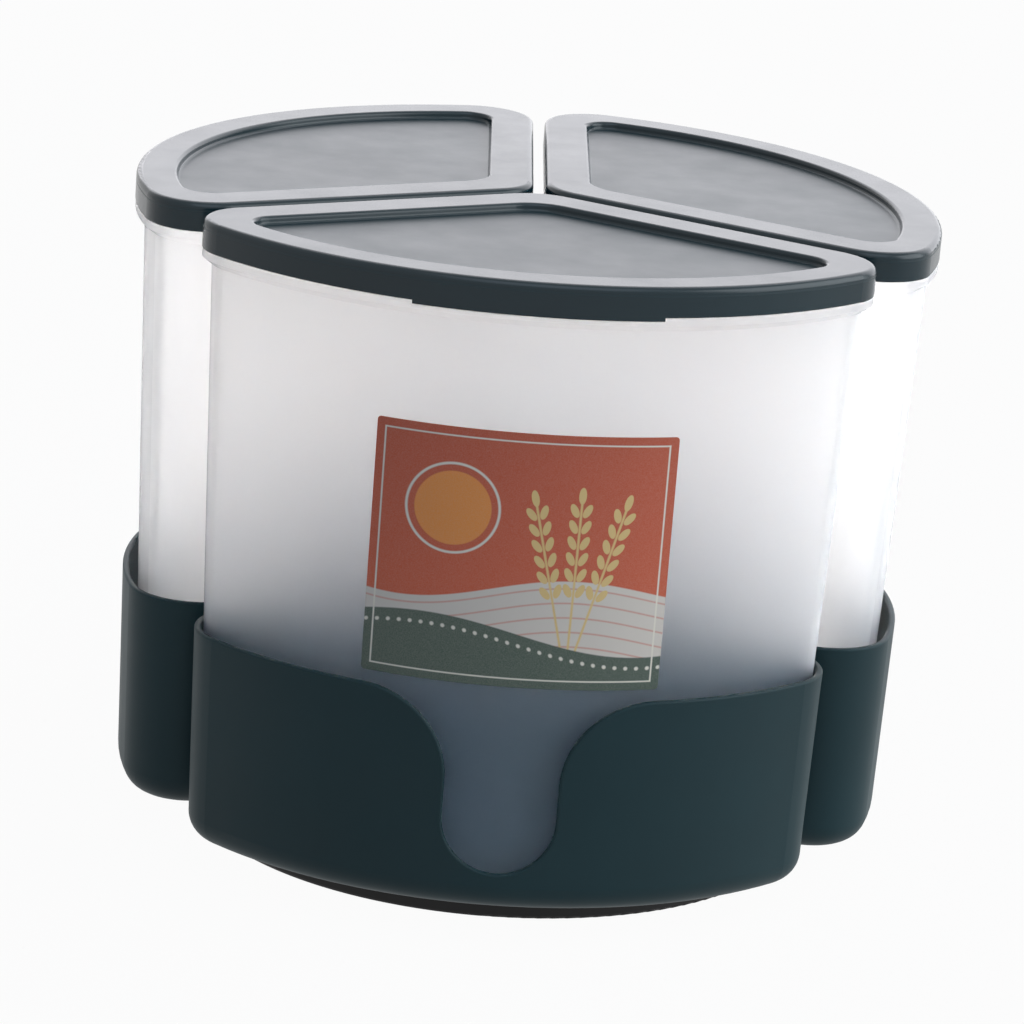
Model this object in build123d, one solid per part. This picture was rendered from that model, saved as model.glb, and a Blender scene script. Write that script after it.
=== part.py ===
# Rotating grain dispenser: three lidded sector canisters in a three-cup tray on a turntable.
# Millimetres, +Z up, floor at z = 0, turning axis on the Z axis, front towards -Y.
import os
from math import asin, atan, cos, degrees, pi, radians, sin, tan

from build123d import *

# Plan shape shared by the lids, canisters and cups
side_angle = 60.0
front_angle = -90.0
arc_setback = 5.0
sector_angles = {
    "front": front_angle,
    "right": front_angle + 2 * side_angle,
    "left": front_angle + 4 * side_angle,
}

# Lids
lid_reach = 115.7
lid_split = 3.6
lid_corner = 16.6
lid_apex = 16.0
lid_plate = 2.0
skirt_wall = 1.9
rim_front = 11.6
rim_side = 13.0
recess_corner = 7.5
recess_apex = 14.0
recess_depth = 2.3
recess_wall = 2.0
recess_draft = 8.0
panel_thick = 2.0
lid_edge_round = 1.8
recess_edge_round = 1.1
recess_floor_round = 0.9
skirt_edge_round = 0.4

# Lift tab at the front of each lid
tab_width = 68.0
tab_drop = 1.0
tab_room = 0.3

# Lid seals
seal_thick = 2.6
seal_width = 6.0
seal_room = 0.3

# Canisters
canister_height = 174.2
canister_draft = 1.95
canister_wall = 1.6
canister_floor = 1.8
mouth_inset = 2.7
mouth_round = 0.5
flange_drop = 4.1
flange_side = 2.0
flange_run = 2.2
flange_inset = 0.2
flange_bury = 0.4
flange_round = 0.5
skirt_lift = 0.3
foot_lift = 1.0
foot_width = 9.0
foot_corner = 6.0
canister_base_round = 4.0
canister_inner_round = 3.0

# Front label
label_width = 82.0
label_height = 73.0
label_rise = 2.4
label_thick = 0.25
label_lift = 0.1
label_corner = 1.0

# Tray
tray_height = 63.2
tray_wall = 1.9
tray_floor = 2.4
tray_draft = 1.5
tray_split = 4.6
tray_corner = 19.5
tray_apex = 16.0
pocket_room = 2.6
tray_base_round = 8.0
pocket_floor_round = 1.5
rim_round = 0.7
web_thick = 9.0
web_reach = 79.0
web_height = 36.0
boss_radius = 7.0
boss_height = 16.0

# Finger notch in the front of each cup
notch_width = 31.6
notch_bottom = 11.6
notch_shoulder = 25.0

# Turntable
foot_radius = 6.0
foot_show = 0.8
foot_bury = 0.8
foot_inset = 15.0
foot_count = 6
foot_room = 0.2
foot_round = 0.3
base_radius = 90.0
base_thick = 4.6
base_round = 1.0
lip_width = 3.4
lip_height = 3.2
race_gap = 2.8
race_clear = 4.1
race_thick = 2.4
race_bore = 14.0
deck_margin = 1.5
hub_radius = 12.0
hub_shortfall = 0.4

# Ball ring
ball_radius = 2.5
ball_inset = 24.5
ball_count = 16
groove_room = 0.05
cage_width = 12.0
cage_thick = 1.2
cage_room = 0.1

# Pivot
pivot_radius = 2.5
pivot_head_radius = 6.0
pivot_head = 1.8
pivot_slot_width = 1.4
pivot_slot_depth = 0.8
pivot_grip = 12.0
pivot_fit = 0.06
thread_room = 0.02
washer_thick = 0.6
washer_radius = 6.6
head_bore_radius = 7.2
head_bore_depth = 2.6
bushing_radius = 4.5
insert_radius = 4.2
press_room = 0.02

# Screws that hold the upper race to the tray
screw_radius = 1.5
screw_head_radius = 3.0
screw_head = 1.5
screw_grip = 8.0
screw_room = 0.1
screw_outer_inset = 10.5
screw_inner_inset = 20.0
screw_slot_width = 0.8
screw_slot_depth = 0.7

# Circles about the turning axis
race_radius = base_radius - lip_width - race_clear
deck_radius = race_radius + deck_margin
foot_circle = base_radius - foot_inset
ball_circle = race_radius - ball_inset
screw_circles = (race_bore + screw_inner_inset, race_radius - screw_outer_inset)

# Levels, from the floor up
base_low = foot_show
base_top = base_low + base_thick
race_low = base_top + race_gap
tray_low = race_low + race_thick
ball_level = (base_top + race_low) / 2
head_bore_top = base_low + head_bore_depth
washer_low = head_bore_top - washer_thick
hub_top = tray_low - hub_shortfall
tray_rim = tray_low + tray_height
canister_low = tray_low + tray_floor
mouth_top = canister_low + canister_height
flange_top = mouth_top - flange_drop
skirt_low = flange_top + skirt_lift
tab_low = skirt_low - tab_drop
lid_under = mouth_top + seal_thick
lid_top = lid_under + lid_plate
panel_top = lid_top - recess_depth
panel_low = panel_top - panel_thick

canister_slope = tan(radians(canister_draft))
tray_slope = tan(radians(tray_draft))
overrun = 2.0


def inset(outline, depth):
    # Same outline, moved inwards all round
    reach, half_gap, corner, apex = outline
    return (reach - depth, half_gap + depth, corner - depth, apex - depth)


def sector(outline, z):
    # Rounded sector with its bisector along +X: outer arc, two corner arcs, two sides and an apex arc
    reach, half_gap, corner, apex = outline
    side = radians(side_angle)
    arc = reach + arc_setback
    swing = side - asin((half_gap + corner + arc_setback * sin(side)) / (arc - corner))
    square = side + pi / 2
    corner_x = (arc - corner) * cos(swing) - arc_setback
    corner_y = (arc - corner) * sin(swing)
    apex_x = (half_gap + apex) / sin(side)

    def around(x, y, radius, angle):
        return (x + radius * cos(angle), y + radius * sin(angle), z)

    middle = (swing + square) / 2
    upper = [around(corner_x, corner_y, corner, a) for a in (swing, middle, square)]
    lower = [around(corner_x, -corner_y, corner, -a) for a in (square, middle, swing)]
    nose = [around(apex_x, 0, apex, a) for a in (square, pi, 2 * pi - square)]
    edges = [
        ThreePointArc(lower[2], (reach, 0, z), upper[0]),
        ThreePointArc(*upper),
        Line(upper[2], nose[0]),
        ThreePointArc(*nose),
        Line(nose[2], lower[0]),
        ThreePointArc(*lower),
    ]
    return Face(Wire(edges))


def prism(outline, low, high):
    # Upright sector between two levels
    return extrude(sector(outline, low), amount=high - low, dir=(0, 0, 1))


def drafted(outline, high, low, draft):
    # Sector that narrows downwards from its upper level
    return extrude(sector(outline, high), amount=high - low, dir=(0, 0, -1), taper=draft)


def front_slab(width, low, high):
    # Box over the front of a sector between two levels
    return Pos(lid_reach, 0, (low + high) / 2) * Box(lid_reach, width, high - low)


def front_wedge(width, low, high):
    # Wedge about the outer arc's centre, of a given width at the arc, between two levels
    arc = lid_reach + arc_setback
    turn = asin(width / 2 / arc)
    near = arc / 2
    far = arc + lid_corner
    corners = [(near, -turn), (far, -turn), (far, turn), (near, turn)]
    points = [(r * cos(a) - arc_setback, r * sin(a), low) for r, a in corners]
    return extrude(Face(Polyline(*points, close=True)), amount=high - low, dir=(0, 0, 1))


def disc(radius, low, high, x=0.0, y=0.0):
    # Upright cylinder between two levels
    return Pos(x, y, (low + high) / 2) * Cylinder(radius, high - low)


def edges_at(shape, z):
    # Edges that lie wholly at one level
    return [e for e in shape.edges() if abs(e.bounding_box().min.Z - z) < 1e-4
            and abs(e.bounding_box().max.Z - z) < 1e-4]


def top_face(shape):
    # Highest flat face
    return shape.faces().sort_by(Axis.Z)[-1]


def ring_spots(radius, count, start=0.0):
    # Evenly spaced places around the axis
    turns = [radians(start + 360.0 * i / count) for i in range(count)]
    return [(radius * cos(t), radius * sin(t)) for t in turns]


def one_solid(shape):
    # The single solid of a result
    return shape.solids()[0]


# Outlines
lid_line = (lid_reach, lid_split / 2, lid_corner, lid_apex)
recess_line = (lid_reach - rim_front, lid_split / 2 + rim_side, recess_corner, recess_apex)


def canister_line(z, depth=0.0):
    # Canister's outer outline at a level, moved inwards by a depth
    return inset(lid_line, mouth_inset + (mouth_top - z) * canister_slope + depth)


tray_reach = canister_line(tray_rim)[0] + pocket_room + tray_wall
tray_line = (tray_reach, tray_split / 2, tray_corner, tray_apex)


def make_tab():
    # Strip that hangs below the skirt, to lift the lid by
    high = skirt_low + skirt_edge_round
    strip = prism(lid_line, tab_low, high)
    strip = fillet(edges_at(strip, tab_low), skirt_edge_round)
    strip = strip - prism(inset(lid_line, skirt_wall), tab_low - overrun, high + overrun)
    return strip & front_wedge(tab_width, tab_low - overrun, high + overrun)


def make_lid():
    # Cap with a skirt, a lift tab, a sunken panel and a channel for the seal
    well = drafted(recess_line, lid_top, panel_top, recess_draft)
    well = fillet(edges_at(well, panel_top), recess_floor_round)
    body = prism(lid_line, skirt_low, lid_top) - well
    body = fillet(top_face(body).inner_wires()[0].edges(), recess_edge_round)
    body = fillet(top_face(body).outer_wire().edges(), lid_edge_round)
    body = fillet(edges_at(body, skirt_low), skirt_edge_round)
    body = body - prism(inset(lid_line, skirt_wall), skirt_low - overrun, panel_low)
    channel = prism(inset(lid_line, skirt_wall), panel_low - overrun, lid_under)
    channel = channel - prism(inset(recess_line, -recess_wall), panel_low - 2 * overrun, lid_top)
    return one_solid(body - channel + make_tab())


def make_seal():
    # Flat silicone ring in the lid's channel, resting on the canister's mouth
    outer_line = inset(lid_line, skirt_wall + seal_room)
    bore = prism(inset(outer_line, seal_width), mouth_top - overrun, lid_under + overrun)
    return one_solid(prism(outer_line, mouth_top, lid_under) - bore)


def make_cavity():
    # Space inside a canister, from its floor to past its mouth
    floor_z = canister_low + foot_lift + canister_floor
    high = mouth_top + overrun
    space = drafted(canister_line(high, canister_wall), high, floor_z, canister_draft)
    return fillet(edges_at(space, floor_z), canister_inner_round)


def make_canister():
    # Drafted wall with a flange under the lid, room there for the lift tab, and a raised underside
    body = drafted(canister_line(mouth_top), mouth_top, canister_low, canister_draft)
    body = fillet(edges_at(body, canister_low), canister_base_round)
    body = fillet(edges_at(body, mouth_top), mouth_round)
    collar_line = inset(lid_line, flange_inset)
    collar_low = flange_top - flange_side
    collar = prism(collar_line, collar_low, flange_top)
    collar = fillet(edges_at(collar, flange_top), flange_round)
    collar = collar - front_wedge(tab_width + 2 * tab_room, tab_low - tab_room, mouth_top)
    run_in = mouth_inset - flange_inset + flange_drop * canister_slope + flange_bury
    slant = degrees(atan(run_in / flange_run))
    under = drafted(collar_line, collar_low, collar_low - flange_run, slant)
    reach, half_gap, corner, apex = canister_line(canister_low)
    hollow_line = (reach - foot_width, half_gap + foot_width, foot_corner, foot_corner)
    hollow = prism(hollow_line, canister_low - overrun, canister_low + foot_lift)
    return one_solid(body + collar + under - make_cavity() - hollow)


def make_label():
    # Thin sticker that follows the canister's front
    face_line = canister_line(mouth_top, -label_lift - label_thick)
    back_line = canister_line(mouth_top, -label_lift)
    skin = drafted(face_line, mouth_top, canister_low, canister_draft)
    skin = skin - drafted(back_line, mouth_top, canister_low, canister_draft)
    label_low = tray_rim + label_rise
    plate = front_slab(label_width, label_low, label_low + label_height)
    plate = fillet(plate.edges().filter_by(Axis.X), label_corner)
    return one_solid(skin & plate)


def notch_cutter():
    # Round-bottomed notch that flares into the rim, cut through the front wall only
    half = notch_width / 2
    low = tray_low + notch_bottom
    knee = tray_rim - notch_shoulder
    top = tray_rim + overrun
    flare = half + notch_shoulder
    bend = notch_shoulder * (1 - cos(pi / 4))
    start = tray_reach - tray_base_round - 4 * tray_wall

    def at(y, z):
        return (start, y, z)

    edges = [
        ThreePointArc(at(-half, low + half), at(0, low), at(half, low + half)),
        Line(at(half, low + half), at(half, knee)),
        ThreePointArc(at(half, knee), at(half + bend, tray_rim - bend), at(flare, tray_rim)),
        Line(at(flare, tray_rim), at(flare, top)),
        Line(at(flare, top), at(-flare, top)),
        Line(at(-flare, top), at(-flare, tray_rim)),
        ThreePointArc(at(-flare, tray_rim), at(-half - bend, tray_rim - bend), at(-half, knee)),
        Line(at(-half, knee), at(-half, low + half)),
    ]
    return extrude(Face(Wire(edges)), amount=lid_reach, dir=(1, 0, 0))


def rim_edges(tray):
    # Long edges of the cups' rims and notches, without the short ones across the wall
    chosen = []
    for e in edges_at(tray, tray_rim):
        if e.length > 2 * tray_wall:
            chosen.append(e)
    notch_side = notch_width / 2 + notch_shoulder
    for turn in sector_angles.values():
        for e in tray.edges():
            box = (Rot(0, 0, -turn) * e).bounding_box()
            in_front = box.min.X > tray_reach - 2 * tray_base_round
            in_notch = max(abs(box.min.Y), abs(box.max.Y)) < notch_side + 0.1
            above = box.min.Z > tray_low + notch_bottom - 0.1
            across = box.size.Y < 1e-3 and box.size.Z < 1e-3
            if in_front and in_notch and above and not across and box.min.Z < tray_rim - 0.1:
                chosen.append(e)
    return chosen


def screw_spots():
    # Two screws on each line between neighbouring cups
    spots = []
    for radius in screw_circles:
        spots.extend(ring_spots(radius, 3, sector_angles["front"] + 180.0))
    return spots


def make_tray():
    # Three cups joined by webs, a flat deck and a centre boss
    cup = drafted(tray_line, tray_rim, tray_low, tray_draft)
    cup = fillet(edges_at(cup, tray_low), tray_base_round)
    high = tray_rim + overrun
    pocket = drafted(inset(tray_line, tray_wall - overrun * tray_slope), high, canister_low, tray_draft)
    pocket = fillet(edges_at(pocket, canister_low), pocket_floor_round)
    web = Pos(web_reach / 2, 0, tray_low + web_height / 2) * Box(web_reach, web_thick, web_height)
    tray = disc(deck_radius, tray_low, canister_low) + disc(boss_radius, tray_low, tray_low + boss_height)
    for turn in sector_angles.values():
        tray = tray + Rot(0, 0, turn + 180.0) * web + Rot(0, 0, turn) * cup
    for turn in sector_angles.values():
        tray = tray - Rot(0, 0, turn) * pocket - Rot(0, 0, turn) * notch_cutter()
    tray = fillet(rim_edges(tray), rim_round)
    tray = tray - disc(insert_radius + press_room, tray_low - overrun, tray_low + pivot_grip)
    for x, y in screw_spots():
        tray = tray - disc(screw_radius + thread_room, tray_low - overrun, tray_low + screw_grip, x, y)
    return one_solid(tray)


def make_groove(z):
    # Ring-shaped track for the balls
    return Pos(0, 0, z) * Torus(ball_circle, ball_radius + groove_room)


def make_base():
    # Lower disc with a raised lip, a ball track, a hub and pockets for the feet
    body = disc(base_radius, base_low, base_top + lip_height)
    body = body - disc(base_radius - lip_width, base_top, base_top + lip_height + overrun)
    body = fillet(body.edges().filter_by(GeomType.CIRCLE).group_by(Axis.Z)[0], base_round)
    body = fillet(edges_at(body, base_top + lip_height), base_round)
    body = body + disc(hub_radius, base_top - overrun, hub_top)
    body = body - make_groove(ball_level)
    body = body - disc(head_bore_radius, base_low - overrun, base_low + head_bore_depth)
    body = body - disc(bushing_radius + press_room, base_low, tray_low)
    for x, y in ring_spots(foot_circle, foot_count):
        body = body - disc(foot_radius + foot_room, base_low - overrun, base_low + foot_bury, x, y)
    return one_solid(body)


def make_race():
    # Upper disc with the matching ball track and countersunk screw holes
    body = disc(race_radius, race_low, tray_low) - disc(race_bore, race_low - overrun, tray_low + overrun)
    body = body - make_groove(ball_level)
    wide = screw_head_radius + screw_room
    slim = screw_radius + screw_room
    for x, y in screw_spots():
        body = body - disc(slim, race_low - overrun, tray_low + overrun, x, y)
        sink = Pos(x, y, race_low + screw_head / 2) * Cone(wide, slim, screw_head)
        body = body - sink
    return one_solid(body)


def make_screws():
    # Countersunk screws, all alike
    low = race_low
    shank = disc(screw_radius, low, tray_low + screw_grip)
    head = Pos(0, 0, low + screw_head / 2) * Cone(screw_head_radius, screw_radius, screw_head)
    slot = Pos(0, 0, low) * Box(3 * screw_head_radius, screw_slot_width, 2 * screw_slot_depth)
    screw = one_solid(head + shank - slot)
    return Compound(children=[Pos(x, y, 0) * screw for x, y in screw_spots()])


def make_cage():
    # Flat ring with a hole for every ball
    low = ball_level - cage_thick / 2
    high = ball_level + cage_thick / 2
    body = disc(ball_circle + cage_width / 2, low, high)
    body = body - disc(ball_circle - cage_width / 2, low - overrun, high + overrun)
    for x, y in ring_spots(ball_circle, ball_count):
        body = body - disc(ball_radius + cage_room, low - overrun, high + overrun, x, y)
    return one_solid(body)


def make_balls():
    # Steel balls, all alike
    ball = one_solid(Sphere(ball_radius))
    spots = ring_spots(ball_circle, ball_count)
    return Compound(children=[Pos(x, y, ball_level) * ball for x, y in spots])


def make_feet():
    # Round pads, all alike
    pad = disc(foot_radius, 0, base_low + foot_bury)
    pad = one_solid(fillet(edges_at(pad, 0), foot_round))
    spots = ring_spots(foot_circle, foot_count)
    return Compound(children=[Pos(x, y, 0) * pad for x, y in spots])


def make_pivot():
    # Slotted screw that holds the tray to the turntable and turns with the tray
    seat = washer_low
    low = seat - pivot_head
    head = disc(pivot_head_radius, low, seat)
    slot = Pos(0, 0, low) * Box(3 * pivot_head_radius, pivot_slot_width, 2 * pivot_slot_depth)
    return one_solid(head + disc(pivot_radius, seat, tray_low + pivot_grip) - slot)


def make_sleeve(outer, inner, low, high):
    # Plain ring between two levels
    return one_solid(disc(outer, low, high) - disc(inner, low - overrun, high + overrun))


parts = {
    "turntable_base": make_base(),
    "rubber_feet": make_feet(),
    "hub_bushing": make_sleeve(bushing_radius, pivot_radius + pivot_fit, head_bore_top, hub_top),
    "pivot_washer": make_sleeve(washer_radius, pivot_radius + pivot_fit, washer_low, head_bore_top),
    "bearing_cage": make_cage(),
    "bearing_balls": make_balls(),
    "race_plate": make_race(),
    "plate_screws": make_screws(),
    "hub_insert": make_sleeve(insert_radius, pivot_radius + thread_room, tray_low, tray_low + pivot_grip),
    "pivot_screw": make_pivot(),
    "base_tray": make_tray(),
}

lid = make_lid()
seal = make_seal()
canister = make_canister()
for place, turn in sector_angles.items():
    parts["canister_" + place] = Rot(0, 0, turn) * canister
    parts["lid_" + place] = Rot(0, 0, turn) * lid
    parts["lid_seal_" + place] = Rot(0, 0, turn) * seal
parts["front_label"] = Rot(0, 0, sector_angles["front"]) * make_label()

os.makedirs("parts", exist_ok=True)
for name, shape in parts.items():
    export_step(shape, "parts/" + name + ".step")

brim = make_cavity() - prism(inset(lid_line, 0), mouth_top, mouth_top + 2 * overrun)
print("capacity of one canister to its mouth, litres:", round(brim.volume / 1e6, 3))
print("overall height, mm:", round(lid_top, 2))
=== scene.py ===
from math import cos, pi, radians, sin, tau

import bpy
from mathutils import Matrix, Vector


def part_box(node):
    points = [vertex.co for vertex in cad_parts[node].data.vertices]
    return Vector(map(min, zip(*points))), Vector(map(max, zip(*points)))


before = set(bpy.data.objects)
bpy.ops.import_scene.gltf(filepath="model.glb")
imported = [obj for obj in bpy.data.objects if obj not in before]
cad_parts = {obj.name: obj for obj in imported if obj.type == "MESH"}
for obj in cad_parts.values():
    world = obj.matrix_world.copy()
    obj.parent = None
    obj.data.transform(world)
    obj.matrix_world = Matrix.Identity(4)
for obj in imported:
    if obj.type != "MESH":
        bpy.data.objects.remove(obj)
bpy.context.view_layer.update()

# Small helpers for building node trees

def startMaterial(name):
    # an empty node tree with its output and the object's own coordinates in metres
    material = bpy.data.materials.new(name)
    material.use_nodes = True
    tree = material.node_tree
    tree.nodes.clear()
    output = tree.nodes.new("ShaderNodeOutputMaterial")
    coords = tree.nodes.new("ShaderNodeTexCoord").outputs["Object"]
    return material, tree, output, coords


def addNode(tree, kind, settings=None, inputs=None):
    # one node, its settings, and its sockets set or linked
    node = tree.nodes.new(kind)
    for key, value in (settings or {}).items():
        setattr(node, key, value)
    for key, value in (inputs or {}).items():
        if isinstance(value, bpy.types.NodeSocket):
            tree.links.new(value, node.inputs[key])
        else:
            node.inputs[key].default_value = value
    return node


def calc(tree, operation, first, second=0.0, third=0.0):
    # one sum on up to three numbers or sockets
    return addNode(tree, "ShaderNodeMath", {"operation": operation},
                   {0: first, 1: second, 2: third}).outputs[0]


def noise(tree, coords, scale, detail=3.0, roughness=0.55, stretch=(1.0, 1.0, 1.0)):
    # noise value with spots of about 1/scale metres, drawn out along an axis by stretch
    moved = addNode(tree, "ShaderNodeMapping", None, {"Vector": coords, "Scale": stretch})
    return addNode(tree, "ShaderNodeTexNoise", None, {
        "Vector": moved.outputs[0], "Scale": scale, "Detail": detail, "Roughness": roughness}).outputs["Fac"]


def spread(tree, value, low, high, fromLow=0.3, fromHigh=0.7):
    # a range, by default the noise's usual one, stretched onto a new one
    return addNode(tree, "ShaderNodeMapRange", None, {
        "Value": value, "From Min": fromLow, "From Max": fromHigh, "To Min": low, "To Max": high}).outputs[0]


def tint(tree, amount, first, second):
    # colour between two, as sockets or RGB
    def rgba(c):
        return c if isinstance(c, bpy.types.NodeSocket) else (c[0], c[1], c[2], 1.0)
    node = addNode(tree, "ShaderNodeMix", {"data_type": "RGBA"}, {0: amount, 6: rgba(first), 7: rgba(second)})
    return node.outputs[2]


def grain(tree, height, strength, distance):
    # bump from a height value
    return addNode(tree, "ShaderNodeBump", None, {
        "Height": height, "Strength": strength, "Distance": distance}).outputs[0]


def dress(names, material):
    # the finish of CAD nodes
    for name in names:
        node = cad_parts[name]
        for slot in node.material_slots:
            slot.material = material


# Dark green moulding of the tray, and of the lids in a glossier finish

greenMoulding = {
    "deep": (0.0050, 0.0215, 0.0262),
    "light": (0.0072, 0.0290, 0.0348),
    "cloudScale": 14.0,
    "satinScale": 60.0,
    "satinLow": 0.50,
    "satinHigh": 0.54,
    "grainScale": 2600.0,
    "grainStrength": 0.10,
    "grainDepth": 0.00004,
    "ior": 1.30,
}


def makeMoulding(name, look):
    # slow clouds in the colour, satin patches in the roughness, fine spark-eroded grain in the bump
    material, tree, output, coords = startMaterial(name)
    cloud = noise(tree, coords, look["cloudScale"], 4.0, 0.6)
    satin = noise(tree, coords, look["satinScale"], 5.0, 0.6)
    fine = noise(tree, coords, look["grainScale"], 2.0, 0.5)
    colour = tint(tree, spread(tree, cloud, 0.0, 1.0), look["deep"], look["light"])
    rough = spread(tree, satin, look["satinLow"], look["satinHigh"])
    if "panelMatt" in look:
        # the sunken panel, told by its height, is more matt than the rim
        height = addNode(tree, "ShaderNodeSeparateXYZ", None, {0: coords}).outputs[2]
        off = calc(tree, "ABSOLUTE", calc(tree, "SUBTRACT", height, look["lidTop"] - look["panelDrop"]))
        onPanel = calc(tree, "LESS_THAN", off, look["panelBand"])
        rough = calc(tree, "MULTIPLY_ADD", onPanel, look["panelMatt"], rough)
    shader = addNode(tree, "ShaderNodeBsdfPrincipled", None, {
        "Base Color": colour,
        "Roughness": rough,
        "Normal": grain(tree, fine, look["grainStrength"], look["grainDepth"]),
        "IOR": look["ior"],
    })
    tree.links.new(shader.outputs[0], output.inputs["Surface"])
    return material


lidMoulding = dict(greenMoulding, deep=(0.0060, 0.0200, 0.0260), light=(0.0085, 0.0270, 0.0340),
                   satinLow=0.21, satinHigh=0.27, ior=1.39,
                   lidTop=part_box("lid_front")[1][2], panelDrop=0.0023, panelBand=0.0003, panelMatt=0.12)
dress(["lid_front", "lid_right", "lid_left"], makeMoulding("greenLidMoulding", lidMoulding))
dress(["base_tray"], makeMoulding("greenTrayMoulding", greenMoulding))
print("lids and tray dressed")

# Frosted canisters

frostedWall = {
    "clear": (0.998, 0.980, 0.962),
    "milky": (1.0, 0.987, 0.975),
    "cloudScale": 22.0,
    "cloudStretch": (1.0, 1.0, 0.35),
    "frostScale": 320.0,
    "frostLow": 0.85,
    "frostHigh": 0.91,
    "pass": 1.0,
    "grainScale": 1800.0,
    "grainStrength": 0.08,
    "grainDepth": 0.00005,
    "ior": 1.15,
    "haze": 0.06,
    "hazeDeep": (0.5, 0.72, 1.0),
    "hazeLight": (0.58, 0.8, 1.0),
}


def makeFrosted(name, look):
    # milky clouds drawn upwards as the melt ran, a frosted roughness, light let through,
    # and a share of bluish haze
    material, tree, output, coords = startMaterial(name)
    cloud = spread(tree, noise(tree, coords, look["cloudScale"], 3.0, 0.5, look["cloudStretch"]), 0.0, 1.0)
    frost = noise(tree, coords, look["frostScale"], 3.0, 0.6)
    fine = noise(tree, coords, look["grainScale"], 2.0, 0.5)
    shader = addNode(tree, "ShaderNodeBsdfPrincipled", None, {
        "Base Color": tint(tree, cloud, look["clear"], look["milky"]),
        "Roughness": spread(tree, frost, look["frostLow"], look["frostHigh"]),
        "Transmission Weight": look["pass"],
        "Normal": grain(tree, fine, look["grainStrength"], look["grainDepth"]),
        "IOR": look["ior"],
    })
    haze = addNode(tree, "ShaderNodeBsdfDiffuse", None, {
        "Color": tint(tree, cloud, look["hazeDeep"], look["hazeLight"])})
    mixed = addNode(tree, "ShaderNodeMixShader", None, {
        0: look["haze"], 1: shader.outputs[0], 2: haze.outputs[0]})
    tree.links.new(mixed.outputs[0], output.inputs["Surface"])
    return material


dress(["canister_front", "canister_right", "canister_left"], makeFrosted("frostedCanister", frostedWall))
print("canisters dressed")

# Soft milky seals in the lids

siliconeRing = {
    "deep": (0.62, 0.61, 0.59),
    "light": (0.72, 0.71, 0.69),
    "cloudScale": 40.0,
    "satinScale": 160.0,
    "satinLow": 0.50,
    "satinHigh": 0.62,
    "grainScale": 1500.0,
    "grainStrength": 0.08,
    "grainDepth": 0.00005,
    "ior": 1.41,
}
dress(["lid_seal_front", "lid_seal_right", "lid_seal_left"], makeMoulding("siliconeSeal", siliconeRing))
print("seals dressed")

# Black turntable disc and upper track, rubber pads, pale ball cage

blackDisc = {
    "deep": (0.0040, 0.0042, 0.0045),
    "light": (0.0068, 0.0070, 0.0074),
    "cloudScale": 18.0,
    "satinScale": 90.0,
    "satinLow": 0.38,
    "satinHigh": 0.50,
    "grainScale": 1900.0,
    "grainStrength": 0.16,
    "grainDepth": 0.00006,
    "ior": 1.33,
}
rubberPad = {
    "deep": (0.012, 0.012, 0.012),
    "light": (0.020, 0.020, 0.019),
    "cloudScale": 90.0,
    "satinScale": 300.0,
    "satinLow": 0.72,
    "satinHigh": 0.86,
    "grainScale": 1200.0,
    "grainStrength": 0.30,
    "grainDepth": 0.00010,
    "ior": 1.45,
}
nylonCage = {
    "deep": (0.56, 0.54, 0.48),
    "light": (0.66, 0.64, 0.58),
    "cloudScale": 30.0,
    "satinScale": 120.0,
    "satinLow": 0.42,
    "satinHigh": 0.52,
    "grainScale": 1700.0,
    "grainStrength": 0.10,
    "grainDepth": 0.00005,
    "ior": 1.45,
}
dress(["turntable_base", "race_plate"], makeMoulding("blackDiscMoulding", blackDisc))
dress(["rubber_feet"], makeMoulding("rubberPads", rubberPad))
dress(["bearing_cage"], makeMoulding("nylonCage", nylonCage))

# Metal of the balls, screws and bushings

polishedSteel = {"deep": (0.50, 0.51, 0.53), "light": (0.62, 0.63, 0.65), "low": 0.08, "high": 0.16,
                 "cloudScale": 260.0, "lineScale": 900.0, "stretch": (1.0, 1.0, 1.0), "strength": 0.02,
                 "depth": 0.00005}
turnedSteel = {"deep": (0.42, 0.42, 0.43), "light": (0.56, 0.56, 0.56), "low": 0.26, "high": 0.40,
               "cloudScale": 180.0, "lineScale": 1400.0, "stretch": (0.1, 0.1, 2.0), "strength": 0.12,
               "depth": 0.00005}
turnedBrass = {"deep": (0.46, 0.30, 0.11), "light": (0.60, 0.42, 0.17), "low": 0.24, "high": 0.38,
               "cloudScale": 180.0, "lineScale": 1400.0, "stretch": (0.1, 0.1, 2.0), "strength": 0.12,
               "depth": 0.00005}


def makeMetal(name, look):
    # turning marks run round the axis, because the noise is drawn out sideways and packed upwards
    material, tree, output, coords = startMaterial(name)
    cloud = noise(tree, coords, look["cloudScale"], 4.0, 0.6)
    lines = noise(tree, coords, look["lineScale"], 2.0, 0.5, look["stretch"])
    shader = addNode(tree, "ShaderNodeBsdfPrincipled", None, {
        "Base Color": tint(tree, spread(tree, cloud, 0.0, 1.0), look["deep"], look["light"]),
        "Metallic": 1.0,
        "Roughness": spread(tree, lines, look["low"], look["high"]),
        "Normal": grain(tree, lines, look["strength"], look["depth"]),
    })
    tree.links.new(shader.outputs[0], output.inputs["Surface"])
    return material


dress(["bearing_balls"], makeMetal("polishedBalls", polishedSteel))
dress(["plate_screws", "pivot_screw", "pivot_washer"], makeMetal("turnedSteel", turnedSteel))
dress(["hub_bushing", "hub_insert"], makeMetal("turnedBrass", turnedBrass))
print("turntable, bearing and pivot dressed")

# Printed sticker: rolling fields, a low sun and three grain ears, measured in millimetres from its middle

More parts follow.
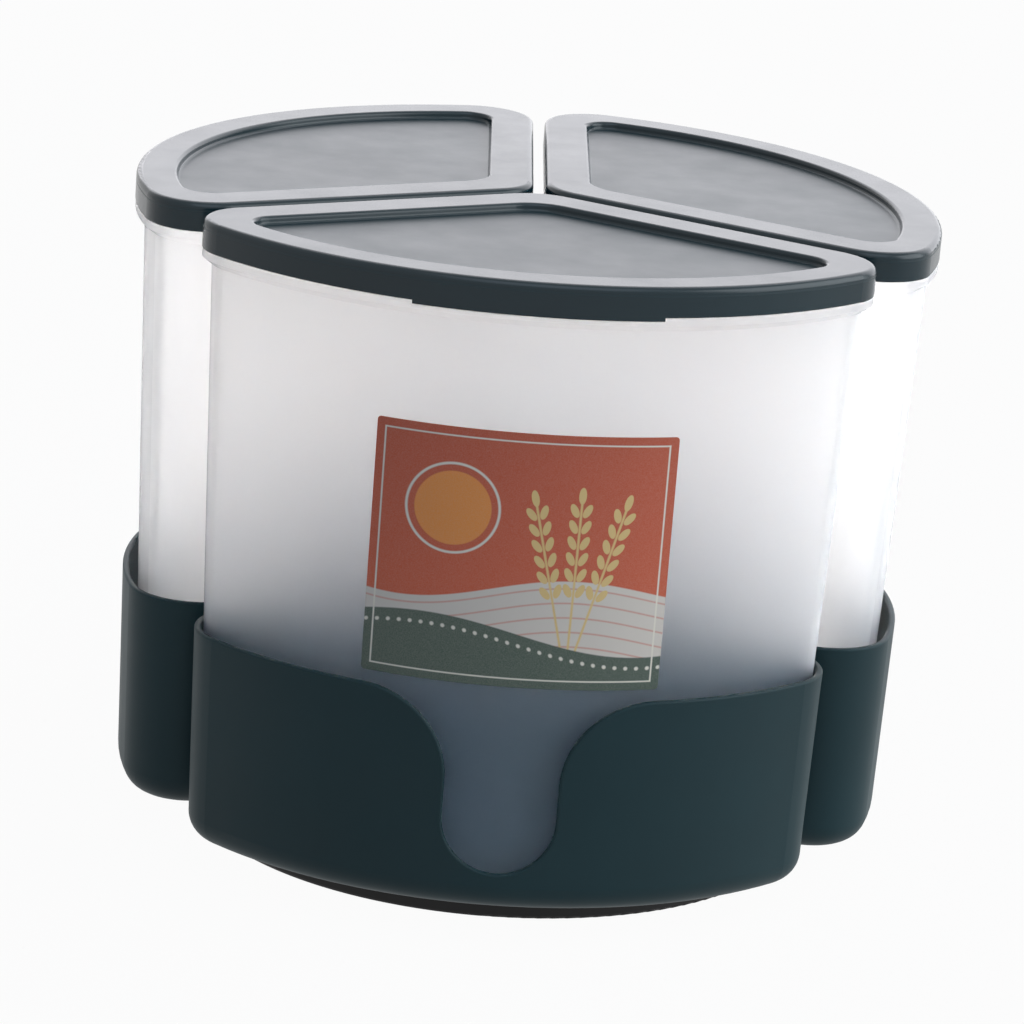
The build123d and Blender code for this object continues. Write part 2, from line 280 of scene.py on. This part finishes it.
stickerLow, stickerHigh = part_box("front_label")
stickerPrint = {
    "middle": (0.0, 0.0, (stickerLow[2] + stickerHigh[2]) / 2),
    "clay": (0.620, 0.112, 0.044),
    "clayDeep": (0.520, 0.092, 0.038),
    "sand": (0.740, 0.660, 0.570),
    "leaf": (0.055, 0.086, 0.062),
    "sun": (0.860, 0.300, 0.060),
    "cream": (0.860, 0.790, 0.660),
    "straw": (0.800, 0.560, 0.220),
    "paper": (0.75, 0.70, 0.64),
    "edgeSoft": 0.18,
    "fineSoft": 0.12,
    "fadeFrom": -10.0,
    "fadeTo": 36.0,
    # half width, half height and line width
    "border": (38.6, 34.0, 0.45),
    # across, up and radius
    "sunAt": (-19.0, 13.5, 10.5),
    "ringGap": 2.2,
    "ringHalf": 0.35,
    # wave length, phase, height and level
    "farHill": (96.0, 0.6, 4.0, -9.0),
    "nearHill": (120.0, 2.9, 5.0, -22.0),
    "furrowPitch": 4.2,
    "furrowHalf": 0.22,
    "furrowShare": 0.55,
    "dotDrop": 3.2,
    "dotPitch": 3.0,
    "dotRadius": 0.55,
    "earTilts": (-13.0, 1.0, 15.0),
    "earFoot": (15.0, -33.0),
    "earStart": 23.0,
    "earLength": 27.6,
    "stemHalf": 0.32,
    "seedPitch": 4.6,
    "seedOut": 1.75,
    "seedLean": 0.5,
    "seedHalf": (1.15, 2.35),
    "tipRise": 2.0,
    "tipHalf": (1.05, 2.4),
    "fibreScale": 900.0,
    "speckScale": 3200.0,
    "speckShare": 0.10,
    "satinLow": 0.40,
    "satinHigh": 0.54,
    "grainStrength": 0.10,
    "grainDepth": 0.00004,
    "ior": 1.45,
}


def makeSticker(name, look):
    # flat shapes laid over each other by their outlines, then paper fibre over the whole
    material, tree, output, coords = startMaterial(name)
    x0, y0, z0 = look["middle"]
    milli = 1000.0
    flat = addNode(tree, "ShaderNodeMapping", None, {
        "Vector": coords, "Location": (-milli * x0, -milli * y0, -milli * z0), "Scale": (milli,) * 3})
    split = addNode(tree, "ShaderNodeSeparateXYZ", None, {0: flat.outputs[0]})
    across, up = split.outputs[0], split.outputs[2]

    def below(value, limit, soft=look["edgeSoft"]):
        # 1 under a limit, 0 over it, with a printed edge of some width
        return addNode(tree, "ShaderNodeMapRange", None, {
            "Value": calc(tree, "SUBTRACT", value, limit),
            "From Min": -soft, "From Max": soft, "To Min": 1.0, "To Max": 0.0}).outputs[0]

    def wave(length, phase, height, level):
        # line of a hill: level plus height times a sine along the sticker
        turn = calc(tree, "MULTIPLY_ADD", across, tau / length, phase)
        return calc(tree, "MULTIPLY_ADD", calc(tree, "SINE", turn), height, level)

    def both(first, second):
        # product, which also is the overlap of two shapes
        return calc(tree, "MULTIPLY", first, second)

    def fold(value, pitch):
        # distance from the middle of each repeat
        part = calc(tree, "FLOORED_MODULO", value, pitch)
        return calc(tree, "ABSOLUTE", calc(tree, "SUBTRACT", part, pitch / 2))

    fade = addNode(tree, "ShaderNodeMapRange", None, {
        "Value": up, "From Min": look["fadeFrom"], "From Max": look["fadeTo"],
        "To Min": 0.0, "To Max": 1.0}).outputs[0]
    colour = tint(tree, fade, look["clay"], look["clayDeep"])

    # sun with a thin ring round it
    sunX, sunZ, sunR = look["sunAt"]
    gapX = calc(tree, "SUBTRACT", across, sunX)
    gapZ = calc(tree, "SUBTRACT", up, sunZ)
    far = calc(tree, "SQRT", calc(tree, "ADD", both(gapX, gapX), both(gapZ, gapZ)))
    colour = tint(tree, below(far, sunR), colour, look["sun"])
    ring = calc(tree, "ABSOLUTE", calc(tree, "SUBTRACT", far, sunR + look["ringGap"]))
    colour = tint(tree, below(ring, look["ringHalf"]), colour, look["cream"])

    # two hills, the far one with furrows
    farHill = wave(*look["farHill"])
    colour = tint(tree, below(up, farHill), colour, look["sand"])
    depth = calc(tree, "SUBTRACT", farHill, up)
    furrow = fold(depth, look["furrowPitch"])
    lines = both(both(below(furrow, look["furrowHalf"]), below(up, farHill)), look["furrowShare"])
    colour = tint(tree, lines, colour, look["clay"])

    # three ears: seeds mirrored about a stem, one pair in each pitch
    footX, footZ = look["earFoot"]
    pitch = look["seedPitch"]
    seedWide, seedLong = look["seedHalf"]
    tipWide, tipLong = look["tipHalf"]
    for tilt in look["earTilts"]:
        c, s = cos(radians(tilt)), sin(radians(tilt))
        baseX = calc(tree, "SUBTRACT", across, footX)
        baseZ = calc(tree, "SUBTRACT", up, footZ)
        side = calc(tree, "SUBTRACT", both(baseX, c), both(baseZ, s))
        along = calc(tree, "ADD", both(baseX, s), both(baseZ, c))
        wide = calc(tree, "ABSOLUTE", side)
        top = look["earStart"] + look["earLength"]
        stem = both(below(wide, look["stemHalf"]), both(below(along, top), below(0.0, along)))
        colour = tint(tree, stem, colour, look["straw"])
        step = calc(tree, "SUBTRACT", calc(tree, "FLOORED_MODULO", along, pitch), pitch / 2)
        lean = calc(tree, "SUBTRACT", wide, look["seedOut"])
        seedX = calc(tree, "DIVIDE", calc(tree, "MULTIPLY_ADD", step, -look["seedLean"], lean), seedWide)
        seedZ = calc(tree, "DIVIDE", calc(tree, "MULTIPLY_ADD", lean, look["seedLean"], step), seedLong)
        round2 = calc(tree, "ADD", both(seedX, seedX), both(seedZ, seedZ))
        span = both(below(along, top), below(look["earStart"], along))
        tipX = calc(tree, "DIVIDE", side, tipWide)
        tipZ = calc(tree, "DIVIDE", calc(tree, "SUBTRACT", along, top + look["tipRise"]), tipLong)
        tip = below(calc(tree, "ADD", both(tipX, tipX), both(tipZ, tipZ)), 1.0, look["fineSoft"])
        seeds = calc(tree, "MAXIMUM", both(below(round2, 1.0, look["fineSoft"]), span), tip)
        colour = tint(tree, seeds, colour, look["straw"])

    # near hill with a dotted line, then the thin border line
    nearHill = wave(*look["nearHill"])
    colour = tint(tree, below(up, nearHill), colour, look["leaf"])
    dotZ = calc(tree, "SUBTRACT", calc(tree, "SUBTRACT", nearHill, up), look["dotDrop"])
    dotX = fold(across, look["dotPitch"])
    dot = calc(tree, "SQRT", calc(tree, "ADD", both(dotX, dotX), both(dotZ, dotZ)))
    colour = tint(tree, below(dot, look["dotRadius"]), colour, look["cream"])
    halfX, halfZ, line = look["border"]
    edgeX = calc(tree, "SUBTRACT", calc(tree, "ABSOLUTE", across), halfX)
    edgeZ = calc(tree, "SUBTRACT", calc(tree, "ABSOLUTE", up), halfZ)
    edge = calc(tree, "ABSOLUTE", calc(tree, "MAXIMUM", edgeX, edgeZ))
    colour = tint(tree, below(edge, line / 2, look["fineSoft"]), colour, look["cream"])

    fibre = noise(tree, coords, look["fibreScale"], 4.0, 0.6)
    speck = noise(tree, coords, look["speckScale"], 2.0, 0.5)
    colour = tint(tree, spread(tree, speck, 0.0, look["speckShare"]), colour, look["paper"])
    shader = addNode(tree, "ShaderNodeBsdfPrincipled", None, {
        "Base Color": colour,
        "Roughness": spread(tree, fibre, look["satinLow"], look["satinHigh"]),
        "Normal": grain(tree, fibre, look["grainStrength"], look["grainDepth"]),
        "IOR": look["ior"],
    })
    tree.links.new(shader.outputs[0], output.inputs["Surface"])
    return material


dress(["front_label"], makeSticker("printedSticker", stickerPrint))
print("sticker dressed")

# Studio: floor, world, soft boxes and camera

studio = {
    "floorHalf": 4.0,
    "floorColour": (0.40, 0.40, 0.40, 1.0),
    "floorShow": 0.96,
    "skyLight": (0.12, 0.15, 0.20),
    "white": (1.0, 1.0, 1.0, 1.0),
    "throughLeft": (1.0, 0.955, 0.915),
    "throughRight": (0.86, 0.825, 0.825),
    "throughSpan": 0.7,
    "boxes": {
        "backBox": {"at": (0.60, 1.95, 1.0), "aim": (0.0, 0.0, 0.15), "size": (3.6, 2.2), "level": 1.35,
                    "colour": (0.94, 0.93, 1.0), "through": True},
        "rightBox": {"at": (1.45, -0.30, 0.75), "aim": (0.0, 0.0, 0.10), "size": (1.5, 1.5), "level": 3.4,
                     "colour": (0.90, 0.96, 1.0)},
        "frontBox": {"at": (0.1, -1.1, 1.6), "aim": (0.0, 0.0, 0.10), "size": (1.4, 1.4), "level": 1.2,
                     "colour": (0.82, 0.95, 1.14)},
        "edgeBox": {"at": (0.1, 0.7, 1.5), "aim": (0.0, 0.0, 0.15), "size": (1.4, 0.3), "level": 2.0,
                    "colour": (0.95, 0.95, 1.0), "mirrorOnly": True},
    },
}


def makeFloor(look):
    # flat square, mostly plain white where it is seen, mirrored or seen through a wall;
    # a small share of its real shading keeps the shadow
    half = look["floorHalf"]
    mesh = bpy.data.meshes.new("studioFloor")
    mesh.from_pydata([(-half, -half, 0.0), (half, -half, 0.0), (half, half, 0.0), (-half, half, 0.0)],
                     [], [(0, 1, 2, 3)])
    floor = bpy.data.objects.new("studioFloor", mesh)
    bpy.context.scene.collection.objects.link(floor)
    material, tree, output = startMaterial("paleFloor")[:3]
    path = addNode(tree, "ShaderNodeLightPath")
    seen = calc(tree, "MAXIMUM", path.outputs["Is Camera Ray"], path.outputs["Is Transmission Ray"])
    seen = calc(tree, "MAXIMUM", seen, path.outputs["Is Glossy Ray"])
    plain = addNode(tree, "ShaderNodeBsdfDiffuse", None, {"Color": look["floorColour"]})
    white = addNode(tree, "ShaderNodeEmission", None, {"Color": look["white"], "Strength": 1.0})
    mixed = addNode(tree, "ShaderNodeMixShader", None, {
        0: calc(tree, "MULTIPLY", seen, look["floorShow"]), 1: plain.outputs[0], 2: white.outputs[0]})
    tree.links.new(mixed.outputs[0], output.inputs["Surface"])
    mesh.materials.append(material)


def makeSky(look):
    # plain white where it is seen or mirrored, tinted from left to right through the walls,
    # and a dim fill as light
    world = bpy.data.worlds.new("studioSky")
    world.use_nodes = True
    bpy.context.scene.world = world
    tree = world.node_tree
    tree.nodes.clear()
    path = addNode(tree, "ShaderNodeLightPath")
    glow = tint(tree, path.outputs["Is Glossy Ray"], look["skyLight"], look["white"])
    heading = addNode(tree, "ShaderNodeTexCoord").outputs["Generated"]
    sideways = addNode(tree, "ShaderNodeSeparateXYZ", None, {0: heading}).outputs[0]
    rightShare = spread(tree, sideways, 0.0, 1.0, -look["throughSpan"], look["throughSpan"])
    through = tint(tree, rightShare, look["throughLeft"], look["throughRight"])
    glow = tint(tree, path.outputs["Is Transmission Ray"], glow, through)
    colour = tint(tree, path.outputs["Is Camera Ray"], glow, look["white"])
    sky = addNode(tree, "ShaderNodeBackground", None, {"Color": colour, "Strength": 1.0})
    output = addNode(tree, "ShaderNodeOutputWorld")
    tree.links.new(sky.outputs[0], output.inputs["Surface"])


def makeBox(name, look):
    # soft box: level is its brightness, so its power is level x pi x area;
    # through lets it shine through the walls, mirrorOnly leaves it to reflections
    lamp = bpy.data.lights.new(name, "AREA")
    lamp.shape = "RECTANGLE"
    lamp.size, lamp.size_y = look["size"]
    lamp.energy = look["level"] * pi * lamp.size * lamp.size_y
    lamp.color = look["colour"]
    box = bpy.data.objects.new(name, lamp)
    bpy.context.scene.collection.objects.link(box)
    at = Vector(look["at"])
    turn = (Vector(look["aim"]) - at).to_track_quat("-Z", "Y")
    box.matrix_world = Matrix.Translation(at) @ turn.to_matrix().to_4x4()
    box.visible_camera = False
    box.visible_transmission = look.get("through", False)
    box.visible_diffuse = not look.get("mirrorOnly", False)


makeFloor(studio)
makeSky(studio)
for boxName, boxLook in studio["boxes"].items():
    makeBox(boxName, boxLook)
print("studio ready")

cameraView = {
    "eye": (-0.02613, -1.33049, 0.48504),
    "aim": (-0.00089, -0.00190, 0.09454),
    "roll": 4.465,
    "lens": 165.1,
    "sensor": 36.0,
}
camera = bpy.data.cameras.new("photoCamera")
camera.lens = cameraView["lens"]
camera.sensor_width = cameraView["sensor"]
cameraObject = bpy.data.objects.new("photoCamera", camera)
bpy.context.scene.collection.objects.link(cameraObject)
eye = Vector(cameraView["eye"])
aimed = (Vector(cameraView["aim"]) - eye).to_track_quat("-Z", "Y").to_matrix().to_4x4()
rolled = Matrix.Rotation(radians(cameraView["roll"]), 4, "Z")
cameraObject.matrix_world = Matrix.Translation(eye) @ aimed @ rolled
bpy.context.scene.camera = cameraObject
bpy.context.scene.view_settings.view_transform = "Standard"
print("camera set")
